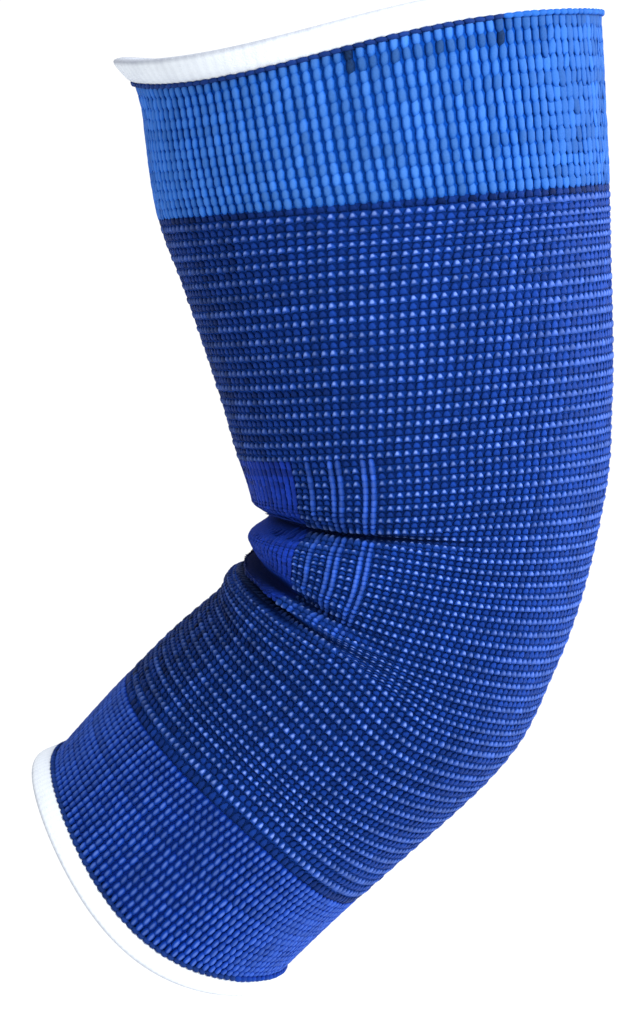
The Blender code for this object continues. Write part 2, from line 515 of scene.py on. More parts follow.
class NodeKit:
    """Adds nodes to one tree and links them."""

    def __init__(self, tree: bpy.types.NodeTree) -> None:
        """Keeps the tree that the nodes go into."""
        self.tree = tree

    def node(self, kind: str, **settings: object) -> bpy.types.Node:
        """Adds a node and sets its options.

        Args:
            kind: kind of the node.
            settings: the node's options by name.

        Returns:
            The new node.
        """
        node = self.tree.nodes.new(kind)
        for name, value in settings.items():
            setattr(node, name, value)
        return node

    def link(self, value: object, target: bpy.types.NodeSocket) -> None:
        """Gives an input what it reads.

        Args:
            value: a socket to link from, or a value to set.
            target: the input.
        """
        if isinstance(value, bpy.types.NodeSocket):
            self.tree.links.new(value, target)
        else:
            target.default_value = value

    def filled(self, node: bpy.types.Node, *values: object) -> bpy.types.NodeSocket:
        """Fills the inputs of a node that are in use, in their order.

        Args:
            node: the node.
            values: sockets or values for its first inputs.

        Returns:
            The node's first output.
        """
        for target, value in zip(live(node.inputs), values):
            self.link(value, target)
        return live(node.outputs)[0]

    def maths(self, operation: str, *values: object) -> bpy.types.NodeSocket:
        """One sum of numbers or sockets."""
        return self.filled(self.node("ShaderNodeMath", operation=operation), *values)

    def vectors(self, operation: str, *values: object) -> bpy.types.NodeSocket:
        """One sum of vectors or colours."""
        return self.filled(self.node("ShaderNodeVectorMath", operation=operation), *values)


class Shades(NodeKit):
    """Nodes of one material, with its shader at hand."""

    def __init__(self, name: str) -> None:
        """Starts a material with an empty Principled shader.

        Args:
            name: name of the material.
        """
        self.material = bpy.data.materials.new(name)
        self.material.use_nodes = True
        super().__init__(self.material.node_tree)
        self.shader = self.tree.nodes["Principled BSDF"]

    def attribute(self, name: str, output: str = "Fac") -> bpy.types.NodeSocket:
        """An attribute of the mesh, as a number or by another output."""
        return self.node("ShaderNodeAttribute", attribute_name=name).outputs[output]

    def noise(self, scale: float, detail: float) -> bpy.types.NodeSocket:
        """Noise on the piece, by its Object coordinates.

        Args:
            scale: how many of its waves there are to the metre.
            detail: how many finer layers it has.

        Returns:
            A number from 0 to 1.
        """
        node = self.node("ShaderNodeTexNoise")
        self.link(self.node("ShaderNodeTexCoord").outputs["Object"], node.inputs["Vector"])
        self.link(scale, node.inputs["Scale"])
        self.link(detail, node.inputs["Detail"])
        return node.outputs["Fac"]

    def ranged(self, value: object, low: float, high: float, to: Range) -> bpy.types.NodeSocket:
        """Moves a number from one range to another, eased at the ends and kept inside.

        Args:
            value: the number.
            low: start of its range.
            high: end of its range.
            to: start and end of the new range.

        Returns:
            The moved number.
        """
        node = self.node("ShaderNodeMapRange", interpolation_type="SMOOTHSTEP")
        return self.filled(node, value, low, high, *to)

    def mixed(self, share: object, first: object, second: object) -> bpy.types.NodeSocket:
        """A colour between two colours.

        Args:
            share: share of the second colour.
            first: colour at share 0.
            second: colour at share 1.

        Returns:
            The mixed colour.
        """
        node = self.node("ShaderNodeMix", data_type="RGBA")
        ends = (first, second)
        colours = [(*end, 1.0) if isinstance(end, tuple) else end for end in ends]
        return self.filled(node, share, *colours)

    def clouded(self, level: object, noise: object, amount: float) -> bpy.types.NodeSocket:
        """A level that a noise makes lighter and darker by an amount in all."""
        darkest = self.maths("SUBTRACT", level, amount / 2.0)
        return self.maths("MULTIPLY_ADD", noise, amount, darkest)

    def bump(self, height: object, distance: float, strength: float) -> None:
        """Gives the shader a bump.

        Args:
            height: height from 0 to 1.
            distance: height of a full bump, in metres.
            strength: how much of it shows.
        """
        node = self.node("ShaderNodeBump")
        self.link(strength, node.inputs["Strength"])
        self.link(distance, node.inputs["Distance"])
        self.link(height, node.inputs["Height"])
        self.link(node.outputs["Normal"], self.shader.inputs["Normal"])

    def base_colour(self, colour: object, level: object) -> None:
        """Gives the shader a base colour, made lighter or darker by a level."""
        self.link(self.vectors("SCALE", colour, level), self.shader.inputs["Base Color"])

    def surface(self, roughness: float, sheen: float, tint: Colour, specular: float) -> None:
        """Sets the shader's constant numbers for yarn.

        Args:
            roughness: how matt the yarn is.
            sheen: how much light its fibres catch.
            tint: colour of that light.
            specular: how much it shines.
        """
        self.link(roughness, self.shader.inputs["Roughness"])
        self.link(sheen, self.shader.inputs["Sheen Weight"])
        self.link(SHEEN_ROUGHNESS, self.shader.inputs["Sheen Roughness"])
        self.link((*tint, 1.0), self.shader.inputs["Sheen Tint"])
        self.link(specular, self.shader.inputs["Specular IOR Level"])


# Blue tint of the fibres' sheen on yarn, and how wide any sheen spreads
YARN_SHEEN = (0.06, 0.25, 1.00)
SHEEN_ROUGHNESS = 0.45
# Heights on a loop between which its colour goes from the foot's painted shade to the body's
LOOP_RISE = (0.15, 0.95)
# Distances from the middle of a painted highlight between which it fades away
HIGHLIGHT_EDGE = (0.30, 1.0)


@dataclass(frozen=True)
class YarnFinish:
    """Finish of one yarn's stitches: a painted highlight on each loop's body, a foot in painted
    shade.

    The highlight's place down the stitch and its half width and half length are shares of the
    stitch.
    The spread is how much a step of the stitch's shade makes it lighter or darker.
    """

    name: str
    highlight_colour: Colour
    body: Colour
    foot: Colour
    highlight_place: float = 0.5
    highlight_size: Range = (0.5, 0.5)
    spread: float = 0.30
    unevenness: float = 0.30

    def spot(self, tools: Shades, local: bpy.types.NodeSocket) -> bpy.types.NodeSocket:
        """Strength of the painted highlight, with the painted glow that the stitch has all over.

        Args:
            tools: nodes of the material.
            local: place on the stitch.

        Returns:
            The brightness.
        """
        away = tools.vectors("SUBTRACT", local, (0.5, self.highlight_place, 0.0))
        shares = (1.0 / self.highlight_size[0], 1.0 / self.highlight_size[1], 0.0)
        distance = tools.vectors("LENGTH", tools.vectors("MULTIPLY", away, shares))
        inside = tools.ranged(distance, *HIGHLIGHT_EDGE, to=(1.0, 0.0))
        strength = tools.attribute("spot")
        return tools.maths("MULTIPLY_ADD", inside, strength, tools.attribute("glow"))

    def material(self) -> bpy.types.Material:
        """Builds the yarn from the loop's height, its place, and its random shade with painted
        light added.

        Returns:
            The material.
        """
        tools = Shades(self.name)
        local = tools.attribute("local", "Vector")
        split = tools.node("ShaderNodeSeparateXYZ")
        tools.link(local, split.inputs[0])
        rise = tools.ranged(split.outputs[2], *LOOP_RISE, to=(0.0, 1.0))
        # Painted highlight on the loop's raised middle, painted shade towards its foot
        highlight_share = tools.maths("MULTIPLY", self.spot(tools, local), rise)
        colour = tools.mixed(highlight_share, tools.mixed(rise, self.foot, self.body), self.highlight_colour)
        fibre = tools.noise(scale=2600.0, detail=3.0)
        cloud = tools.noise(scale=60.0, detail=2.0)
        level = tools.maths("MULTIPLY_ADD", tools.attribute("shade"), self.spread, 1.0)
        level = tools.clouded(level, fibre, self.unevenness)
        level = tools.clouded(level, cloud, self.unevenness)
        tools.base_colour(colour, level)
        tools.bump(fibre, distance=0.00012, strength=0.6)
        tools.surface(roughness=0.70, sheen=0.08, tint=YARN_SHEEN, specular=0.05)
        return tools.material


# Half width and half length of a small and of a wide painted highlight
SMALL_HIGHLIGHT = (0.27, 0.34)
WIDE_HIGHLIGHT = (0.40, 0.46)

FINISHES = {
    # Colours: painted highlight, body, and foot in painted shade; then highlight place, size,
    # spread
    Yarn.CUFF: YarnFinish(
        "cuff_yarn", (0.036, 0.126, 0.400), (0.015, 0.092, 0.370), (0.002, 0.056, 0.330),
        0.45, WIDE_HIGHLIGHT, 0.20,
    ),
    Yarn.LIGHT: YarnFinish(
        "light_yarn", (0.100, 0.165, 0.430), (0.011, 0.044, 0.240), (0.003, 0.030, 0.195),
        0.40, SMALL_HIGHLIGHT,
    ),
    Yarn.DARK: YarnFinish(
        "dark_yarn", (0.004, 0.028, 0.185), (0.004, 0.026, 0.175), (0.002, 0.020, 0.145)
    ),
    Yarn.LINE: YarnFinish(
        "line_yarn", (0.036, 0.088, 0.370), (0.014, 0.058, 0.320), (0.004, 0.036, 0.270),
        0.50, SMALL_HIGHLIGHT,
    ),
    Yarn.PLAIN: YarnFinish(
        "panel_yarn", (0.006, 0.030, 0.290), (0.005, 0.028, 0.275), (0.004, 0.025, 0.250)
    ),
    # The cuff's yarn, darker as painted shade
    Yarn.LOWER_CUFF: YarnFinish(
        "lower_cuff_yarn", (0.046, 0.092, 0.320), (0.003, 0.031, 0.225), (0.001, 0.018, 0.190),
        0.45, SMALL_HIGHLIGHT, 0.24,
    ),
    Yarn.RIM: YarnFinish(
        "rim_yarn", (0.008, 0.028, 0.150), (0.006, 0.024, 0.130), (0.003, 0.015, 0.095)
    ),
}

# Share of its square on the surface map that a bead takes up, and the share for its underside
MAP_FILL = 0.9
UNDERSIDE_SHARE = 0.05
# Share of the arch by which the middle of an arched bead is pushed up the sleeve
ARCH_BACK = 0.35


@dataclass(frozen=True)
class StitchShape:
    """Shape of one kind of stitch, which is a small closed bead.

    Width and length are shares of the wale's and the course's pitch, and the height is in metres.
    The rings run outwards from the middle, as shares of the bead's size and of its height. The
    taper narrows the upper end, and the arch turns the two sides down.
    """

    yarn: Yarn
    width: float
    length: float
    height: float
    sides: int
    rings: tuple[Range, ...]
    taper: float = 0.0
    arch: float = 0.0

    def flat_places(self) -> list[tuple[float, float, float]]:
        """Places of the bead's corners before it is tapered and arched, from the middle out.

        Returns:
            Half width, half length and height of each.
        """
        places = [(0.0, 0.0, 1.0)]
        for radius, rise in self.rings:
            for side in range(self.sides):
                angle = math.tau * (side + 0.5) / self.sides
                x = radius * math.cos(angle) / 2.0
                places.append((x, radius * math.sin(angle) / 2.0, rise))
        return places

    def faces(self) -> list[tuple[int, ...]]:
        """Corners of the bead's faces: a fan in the middle, rings of squares, and the underside.

        Returns:
            Numbers of the corners of each face.
        """
        sides = range(self.sides)
        faces = [(0, 1 + side, 1 + (side + 1) % self.sides) for side in sides]
        for ring in range(len(self.rings) - 1):
            first = 1 + ring * self.sides
            outer = first + self.sides
            for side in sides:
                after = (side + 1) % self.sides
                faces.append((first + side, outer + side, outer + after, first + after))
        last = 1 + (len(self.rings) - 1) * self.sides
        return [*faces, tuple(last + side for side in reversed(sides))]

    def template(self) -> bpy.types.Object:
        """Bead of unit width, length and height, with its own places in the local attribute.

        Returns:
            A mesh object to be set at every stitch of this kind.
        """
        flat = self.flat_places()
        faces = self.faces()
        points = []
        for x, y, z in flat:
            drop = self.arch * (4.0 * x * x - ARCH_BACK)
            points.append((x * (1.0 + 2.0 * self.taper * y), y + drop, z))
        mesh = bpy.data.meshes.new(f"{self.yarn.name.lower()}_bead")
        mesh.from_pydata(points, [], faces)
        mesh.shade_smooth()
        places = [(0.5 + MAP_FILL * x, 0.5 + MAP_FILL * y, max(z, 0.0)) for x, y, z in flat]
        local = mesh.attributes.new("local", "FLOAT_VECTOR", "POINT")
        local.data.foreach_set("vector", np.array(places).ravel())
        under = mesh.attributes.new("under", "FLOAT", "FACE")
        under.data.foreach_set("value", [0.0] * (len(faces) - 1) + [1.0])
        return new_piece(mesh.name, mesh)


# Rings of a domed loop, of an arched loop and of a low one, from the middle out
LOOP_RINGS = ((0.35, 0.96), (0.65, 0.82), (0.88, 0.48), (1.00, -0.10))
ARCH_RINGS = ((0.45, 0.88), (0.82, 0.50), (1.00, -0.10))
LOW_RINGS = ((0.60, 0.85), (1.00, -0.10))

# One shape for each yarn, in the yarns' own order
SHAPES = (
    StitchShape(Yarn.CUFF, 0.86, 1.60, 0.00078, 8, LOOP_RINGS),
    StitchShape(Yarn.LIGHT, 0.98, 0.98, 0.00100, 8, ARCH_RINGS, 0.25, 0.42),
    StitchShape(Yarn.DARK, 0.97, 1.10, 0.00050, 8, LOW_RINGS, 0.0, 0.36),
    StitchShape(Yarn.LINE, 0.84, 2.00, 0.00086, 8, LOW_RINGS),
    StitchShape(Yarn.PLAIN, 1.06, 2.40, 0.00034, 6, LOW_RINGS),
    StitchShape(Yarn.LOWER_CUFF, 0.86, 1.45, 0.00074, 8, LOOP_RINGS),
    StitchShape(Yarn.RIM, 1.45, 1.00, 0.00062, 6, LOW_RINGS),
)

# How much painted shade darkens a stitch in full gloom
GLOOM = 2.4
# Length of a stitch where the knit is bent sharply, and the bend at which it is that short
BENT_LENGTH = 1.1
SHARP_BEND = 0.08
# Pitch of the courses below which the stitches lie flatter, and their least share of the relief
FULL_PITCH = 0.0011
LEAST_RELIEF = 0.25


class Round(NamedTuple):
    """What changes round the sleeve, at an angle from the crook line.

    The relief is the share of the stitches' height that shows, and the width their width, which
    makes rows of them merge. The highlight is how strongly their painted highlights show, and the
    painted glow is how much painted light they have all over.
    """

    angle: float | np.ndarray
    relief: float | np.ndarray
    width: float | np.ndarray
    spot: float | np.ndarray
    glow: float | np.ndarray


ROUNDS = (
    Round(0.0, 0.34, 1.30, 0.10, 0.26),
    Round(20.0, 0.34, 1.30, 0.10, 0.24),
    Round(50.0, 0.85, 1.00, 0.60, 0.12),
    Round(75.0, 1.00, 1.00, 1.00, 0.00),
    Round(120.0, 1.00, 1.00, 1.00, 0.00),
    Round(142.0, 0.80, 1.05, 0.45, 0.15),
    Round(157.0, 0.40, 1.30, 0.15, 0.22),
    Round(180.0, 0.34, 1.30, 0.15, 0.22),
)


def round_at(angle: np.ndarray) -> Round:
    """The shares at any angles from the crook line, read between the rounds of the table."""
    angles, *columns = zip(*ROUNDS)
    return Round(angle, *(np.interp(angle, angles, column) for column in columns))


class PaintedLight(NamedTuple):
    """Painted light and shade of the knit at a course, at the crook, on the flank and at the back.
    """

    course: float
    crook: float
    flank: float
    back: float


PAINTED_LIGHT = (
    PaintedLight(0.0, 0.6, -0.1, -0.9),
    PaintedLight(12.9, 0.6, -0.1, -0.9),
    PaintedLight(13.0, -1.5, -1.1, -1.5),
    PaintedLight(14.0, -1.3, 0.1, 0.3),
    PaintedLight(47.0, -1.3, 0.1, 0.3),
    PaintedLight(70.0, -0.4, 0.7, 0.3),
    PaintedLight(90.0, -1.2, 0.0, 0.2),
    PaintedLight(106.0, -2.1, 0.3, 0.3),
    PaintedLight(122.0, -2.2, 0.9, 0.3),
    PaintedLight(123.0, -1.8, -0.4, -1.2),
    PaintedLight(124.0, -0.2, 0.0, 1.6),
    PaintedLight(139.0, -0.2, 0.0, 1.6),
)
# Angles from the crook line at which the crook's, the flank's and the back's painted light holds
PAINTED_LIGHT_ANGLES = (30.0, 105.0, 160.0)


class Pucker(NamedTuple):
    """Painted shadow of a nip in the upper rim, at an angle from the crook line, so many courses
    long.
    """

    angle: float
    courses: float
    depth: float


PUCKERS = (Pucker(99.5, 2.0, 3.4), Pucker(138.0, 2.0, 3.0))
# Degrees from the middle of a nip over which it fades
PUCKER_WIDTH = 1.7
# Rolled edge between the two nips: a painted highlight on its first course, painted shade on its
# second
ROLL_PAINTED_LIGHT = (1.2, -1.8)


def rim_painted_light(course: np.ndarray, angle: np.ndarray) -> np.ndarray:
    """Painted light and shade that the rolled and puckered upper rim adds.

    Args:
        course: whole courses down from the upper rim.
        angle: angles from the crook line, in degrees.

    Returns:
        What each stitch's shade gains or loses.
    """
    between = (angle > PUCKERS[0].angle) & (angle < PUCKERS[1].angle)
    painted_rim = between * np.select([course == 0, course == 1], ROLL_PAINTED_LIGHT, 0.0)
    for pucker in PUCKERS:
        near = np.exp(-(((angle - pucker.angle) / PUCKER_WIDTH) ** 2))
        painted_rim = painted_rim - pucker.depth * near * (course < pucker.courses)
    return painted_rim


def painted_light_at(course: np.ndarray, angle: np.ndarray) -> np.ndarray:
    """Painted light and shade of the knit, by course and by side.

    Args:
        course: whole courses down from the upper rim.
        angle: angles from the crook line, in degrees.

    Returns:
        The shade at each, between the rows and columns of the table.
    """
    courses, *columns = zip(*PAINTED_LIGHT)
    crook, flank, back = (np.interp(course, courses, column) for column in columns)
    front = share_of(angle, PAINTED_LIGHT_ANGLES[:2])
    rear = share_of(angle, PAINTED_LIGHT_ANGLES[1:])
    return crook + front * (flank - crook) + rear * (back - flank)


# What sets the seeds of the beads' sizes apart from the seeds of their turns
SIZE_SEED = 10


class Tree(NodeKit):
    """A Geometry Nodes tree under construction, with named inputs."""

    def __init__(self, name: str) -> None:
        """Starts a tree with a way in and a way out for the geometry.

        Args:
            name: name of the tree.
        """
        super().__init__(bpy.data.node_groups.new(name, "GeometryNodeTree"))
        self.names: dict[str, str] = {}
        kind = "NodeSocketGeometry"
        self.add_input("Geometry", kind)
        self.tree.interface.new_socket("Geometry", in_out="OUTPUT", socket_type=kind)
        self.way_in = self.node("NodeGroupInput")
        self.way_out = self.node("NodeGroupOutput")

    def add_input(self, name: str, kind: str) -> None:
        """Gives the tree an input with this name."""
        socket = self.tree.interface.new_socket(name, in_out="INPUT", socket_type=kind)
        self.names[name] = socket.identifier

    def asked(self, name: str) -> bpy.types.NodeSocket:
        """The tree's own input with this name, as a socket to link from."""
        return self.way_in.outputs[name]

    def named(self, name: str, kind: str) -> bpy.types.NodeSocket:
        """An attribute of the geometry.

        Args:
            name: name of the attribute.
            kind: type of its values.

        Returns:
            The attribute's socket.
        """
        node = self.node("GeometryNodeInputNamedAttribute", data_type=kind)
        node.inputs["Name"].default_value = name
        return node.outputs["Attribute"]

    def is_yarn(self, yarn: Yarn) -> bpy.types.NodeSocket:
        """True where the stitch is knitted in this yarn."""
        node = self.node("FunctionNodeCompare", data_type="INT", operation="EQUAL")
        return self.filled(node, self.named("yarn", "INT"), int(yarn))

    def wired(self, kind: str, **inputs: object) -> bpy.types.Node:
        """Adds a node whose inputs are given by name.

        Args:
            kind: kind of the node.
            inputs: what the inputs read, by their names.

        Returns:
            The new node.
        """
        node = self.node(kind)
        for name, value in inputs.items():
            self.link(value, node.inputs[name])
        return node


class StitchTree(Tree):
    """Sets a bead at every point of a field of stitches, and dresses each in its yarn."""

    def __init__(self) -> None:
        """Builds the tree, from the field of points to the dressed mesh."""
        super().__init__("stitches")
        self.add_input("Seed", "NodeSocketInt")
        self.add_input("Turn jitter", "NodeSocketFloat")
        self.add_input("Size jitter", "NodeSocketFloat")
        self.add_input("Cell size", "NodeSocketVector")
        for shape in SHAPES:
            self.add_input(f"{shape.yarn.name} bead", "NodeSocketObject")
            self.add_input(f"{shape.yarn.name} yarn", "NodeSocketMaterial")
        joined = self.node("GeometryNodeJoinGeometry")
        for shape in SHAPES:
            self.link(self.instances(shape.yarn), joined.inputs[0])
        realized = self.wired("GeometryNodeRealizeInstances", Geometry=joined.outputs[0])
        geometry = self.with_map(realized.outputs["Geometry"])
        for shape in SHAPES:
            dressed = self.wired(
                "GeometryNodeSetMaterial",
                Geometry=geometry,
                Selection=self.is_yarn(shape.yarn),
                Material=self.asked(f"{shape.yarn.name} yarn"),
            )
            geometry = dressed.outputs["Geometry"]
        self.link(geometry, self.way_out.inputs[0])

    def jitter(self, kind: str, amount: str, seed_step: int) -> bpy.types.NodeSocket:
        """Random number or vector either side of nothing.

        Args:
            kind: type of the random value.
            amount: name of the tree's input that limits it.
            seed_step: what is added to the tree's seed.

        Returns:
            The random value of each stitch.
        """
        low = self.maths("MULTIPLY", self.asked(amount), -1.0)
        seed = self.maths("ADD", self.asked("Seed"), float(seed_step))
        node = self.node("FunctionNodeRandomValue", data_type=kind)
        self.link(seed, node.inputs["Seed"])
        return self.filled(node, low, self.asked(amount))

    def instances(self, yarn: Yarn) -> bpy.types.NodeSocket:
        """Beads of one yarn at its stitches, turned to the surface and slightly uneven.

        Args:
            yarn: the yarn.

        Returns:
            The beads as instances.
        """
        bead = self.node("GeometryNodeObjectInfo", transform_space="ORIGINAL")
        self.link(self.asked(f"{yarn.name} bead"), bead.inputs["Object"])
        turn_jitter = self.jitter("FLOAT_VECTOR", "Turn jitter", int(yarn))
        angles = self.vectors("ADD", self.named("turn", "FLOAT_VECTOR"), turn_jitter)
        size_jitter = self.jitter("FLOAT", "Size jitter", SIZE_SEED + int(yarn))
        uneven = self.maths("ADD", size_jitter, 1.0)
        placed = self.wired(
            "GeometryNodeInstanceOnPoints",
            Points=self.asked("Geometry"),
            Selection=self.is_yarn(yarn),
            Instance=bead.outputs["Geometry"],
            Rotation=self.filled(self.node("FunctionNodeEulerToRotation"), angles),
            Scale=self.vectors("MULTIPLY", self.named("size", "FLOAT_VECTOR"), uneven),
        )
        return placed.outputs["Instances"]

    def with_map(self, geometry: bpy.types.NodeSocket) -> bpy.types.NodeSocket:
        """Gives each stitch a square of its own on the surface map, its underside in a corner.

        Args:
            geometry: the stitches as a mesh.

        Returns:
            The mesh with its map.
        """
        local = self.named("local", "FLOAT_VECTOR")
        corner = self.vectors("MULTIPLY", local, (1.0, 1.0, 0.0))
        under = self.vectors("MULTIPLY", local, (UNDERSIDE_SHARE, UNDERSIDE_SHARE, 0.0))
        switch = self.node("ShaderNodeMix", data_type="VECTOR")
        mixed = self.filled(switch, self.named("under", "FLOAT"), corner, under)
        inside = self.vectors("MULTIPLY", mixed, self.asked("Cell size"))
        place = self.vectors("ADD", inside, self.named("cell", "FLOAT_VECTOR"))
        stored = self.node("GeometryNodeStoreNamedAttribute", data_type="FLOAT2", domain="CORNER")
        self.link(geometry, stored.inputs["Geometry"])
        stored.inputs["Name"].default_value = "OFBake"
        self.link(place, live(stored.inputs)[-1])
        return stored.outputs["Geometry"]


@dataclass(frozen=True)
class Jitter:
    """How uneven the stitches are: in radians, in size, and in steps of shade."""

    turn: float = 0.10
    size: float = 0.07
    shade: float = 0.42
    course_shade: float = 0.25
    wale_shade: float = 0.35


class StitchKit:
    """What every field of stitches shares: the tree, the beads and the yarns."""

    def __init__(self) -> None:
        """Makes the tree, and one bead and one material for each yarn."""
        self.jitter = Jitter()
        self.tree = StitchTree()
        self.shapes = {shape.yarn: shape for shape in SHAPES}
        self.beads = {yarn: shape.template() for yarn, shape in self.shapes.items()}
        self.yarns = {yarn: finish.material() for yarn, finish in FINISHES.items()}

    def stitched(self, points: bpy.types.Object, cell: Range) -> bpy.types.Object:
        """Turns a field of points into a mesh of stitches.

        Args:
            points: object whose vertices carry the stitches' attributes.
            cell: size of one stitch's square on the surface map.

        Returns:
            The same object, with a plain mesh and no modifier.
        """
        modifier = points.modifiers.new("stitches", "NODES")
        modifier.node_group = self.tree.tree
        names = self.tree.names
        modifier[names["Seed"]] = SEED
        modifier[names["Turn jitter"]] = self.jitter.turn
        modifier[names["Size jitter"]] = self.jitter.size
        modifier[names["Cell size"]] = (*cell, 0.0)
        for yarn, bead in self.beads.items():
            modifier[names[f"{yarn.name} bead"]] = bead
            modifier[names[f"{yarn.name} yarn"]] = self.yarns[yarn]
        mesh = plain_mesh(points)
        points.modifiers.clear()
        points.data = mesh
        for name in ("turn", "size", "cell", "yarn", "under"):
            mesh.attributes.remove(mesh.attributes[name])
        return points

    def clear(self) -> None:
        """Removes the beads that the fields were made from."""
        for bead in self.beads.values():
            bpy.data.objects.remove(bead, do_unlink=True)


def plain_mesh(piece: bpy.types.Object) -> bpy.types.Mesh:
    """The piece's evaluated geometry.

    Args:
        piece: an object with modifiers.

    Returns:
        A plain mesh of its own.
    """
    depsgraph = bpy.context.evaluated_depsgraph_get()
    depsgraph.update()
    return bpy.data.meshes.new_from_object(
        piece.evaluated_get(depsgraph), preserve_all_data_layers=True, depsgraph=depsgraph
    )


def euler_angles(across: np.ndarray, down: np.ndarray, normal: np.ndarray) -> np.ndarray:
    """Euler angles of frames given by their three axes.

    Args:
        across: first axis of each frame.
        down: second axis.
        normal: third axis.

    Returns:
        Angles about X, Y and Z for each frame, in radians.
    """
    about_x = np.arctan2(down[:, 2], normal[:, 2])
    about_y = np.arcsin(np.clip(-across[:, 2], -1.0, 1.0))
    about_z = np.arctan2(across[:, 1], across[:, 0])
    return np.stack((about_x, about_y, about_z), axis=1)


def new_piece(name: str, mesh: bpy.types.Mesh) -> bpy.types.Object:
    """Links a mesh to the scene as an object at the origin."""
    return linked(bpy.data.objects.new(name, mesh))


def linked(thing: bpy.types.Object) -> bpy.types.Object:
    """Links an object to the scene."""
    bpy.context.scene.collection.objects.link(thing)
    return thing


def add_attribute(mesh: bpy.types.Mesh, name: str, kind: str, values: np.ndarray) -> None:
    """Gives each vertex of a mesh a value.

    Args:
        mesh: the mesh.
        name: name of the attribute.
        kind: type of its values.
        values: a value for each vertex.
    """
    attribute = mesh.attributes.new(name, kind, "POINT")
    key = "vector" if kind == "FLOAT_VECTOR" else "value"
    attribute.data.foreach_set(key, np.ascontiguousarray(values).ravel())


class Stitches(NamedTuple):
    """Places and measures of some stitches, and their shades, painted highlights and painted
    glows.
    """

    point: np.ndarray
    frame: SurfaceFrame
    size: np.ndarray
    yarn: np.ndarray
    light: np.ndarray
    cell: np.ndarray

    def points_object(self, name: str) -> bpy.types.Object:
        """Makes a vertex for each stitch, which carries its attributes.

        Args:
            name: name of the piece.

        Returns:
            The object with the vertices.
        """
        across = unit(np.cross(self.frame.down, self.frame.normal))
        down = np.cross(self.frame.normal, across)
        turn = euler_angles(across, down, self.frame.normal)
        mesh = bpy.data.meshes.new(name)
        mesh.from_pydata(self.point.tolist(), [], [])
        for key, values in (("turn", turn), ("size", self.size), ("cell", self.cell)):
            add_attribute(mesh, key, "FLOAT_VECTOR", values)
        add_attribute(mesh, "yarn", "INT", self.yarn.astype(np.int32))
        for key, values in zip(("shade", "spot", "glow"), self.light):
            add_attribute(mesh, key, "FLOAT", values)
        return new_piece(name, mesh)


@dataclass
class StitchField:
    """Stitches of one stretch of the sleeve, sunk a little into its outer face."""

    name: str
    first: int
    last: int
    form: SleeveForm
    plan: KnitPlan
    sink: float = 0.00050

    def bends(self, course: np.ndarray, theta: np.ndarray) -> np.ndarray:
        """How sharply the knit is bent down the sleeve.

        Args:
            course: whole courses down from the upper rim.
            theta: angles round the sleeve.

        Returns:
            A number for each stitch, from 0 to 1.
        """
        before = self.form.folded_frame(np.maximum(course - 0.5, 0.0), theta).down
        after = self.form.folded_frame(np.minimum(course + 1.5, COURSES), theta).down
        return np.clip((1.0 - np.sum(before * after, axis=1)) / SHARP_BEND, 0.0, 1.0)

    def sizes(
        self, yarn: np.ndarray, rounds: Round, frame: SurfaceFrame, bend: np.ndarray
    ) -> np.ndarray:
        """Sizes of the stitches.

        Args:
            yarn: yarn of each stitch.
            rounds: what changes round the sleeve.
            frame: places of the stitches.
            bend: how sharply the knit is bent there.

        Returns:
            Width, length and height of each stitch, in metres.
        """
        table = np.array([(shape.width, shape.length, shape.height) for shape in SHAPES])
        widths, lengths, heights = table[yarn].T
        shortest = np.minimum(lengths, BENT_LENGTH)
        lengths = shortest + (lengths - shortest) * (1.0 - bend)
        flatness = np.clip(frame.course_pitch / FULL_PITCH, LEAST_RELIEF, 1.0)
        width = widths * rounds.width * frame.radian_pitch * math.tau / WALES
        length = lengths * frame.course_pitch
        return np.stack((width, length, heights * rounds.relief * flatness), axis=1)

    def shades(self, jitter: Jitter, course: np.ndarray, wale: np.ndarray) -> np.ndarray:
        """Lightness of the stitches: random, with painted light by zone and painted shade in the
        creases.

        Args:
            jitter: how uneven the stitches are.
            course: whole courses down from the upper rim.
            wale: whole wales round the sleeve.

        Returns:
            The shade of each stitch.
        """
        row = course - self.first
        draws = np.random.default_rng(SEED + self.first)
        shade = jitter.shade * draws.normal(size=len(course))
        shade += jitter.course_shade * draws.normal(size=self.last - self.first)[row]
        shade += jitter.wale_shade * draws.normal(size=WALES)[wale]
        theta = wale_angles(wale, course + 0.5)
        angle = from_crook_line(theta)
        # Painted light and shade by course and side, and on the rolled and puckered upper rim
        shade = np.clip(shade, -1.0, 1.0) + painted_light_at(course, angle) + rim_painted_light(course, angle)
        # Painted shade in the creases
        return shade - (GLOOM + np.minimum(shade, 0.0)) * self.form.gloom(course + 0.5, theta)

    def build(self, kit: StitchKit) -> bpy.types.Object:
        """Makes the stretch's stitches.

        Args:
            kit: the tree, beads and yarns.

        Returns:
            The stitches as one piece.
        """
        courses = np.arange(self.first, self.last)
        grids = np.meshgrid(courses, np.arange(WALES), indexing="ij")
        course, wale = (grid.ravel() for grid in grids)
        theta = wale_angles(wale, course + 0.5)
        frame = self.form.folded_frame(course + 0.5, theta)
        yarn = self.plan.yarn_at(course, np.abs(wale - CROOK_WALE))
        rounds = round_at(from_crook_line(theta))
        size = self.sizes(yarn, rounds, frame, self.bends(course, theta))
        light = np.stack((self.shades(kit.jitter, course, wale), rounds.spot, rounds.glow))
        cell = (1.0 / WALES, 1.0 / len(courses))
        corner = np.stack((wale * cell[0], (course - self.first) * cell[1], 0.0 * wale), axis=1)
        point = frame.point - frame.normal * self.sink
        stitches = Stitches(point, frame, size, yarn, light, corner)
        return kit.stitched(stitches.points_object(self.name), cell)


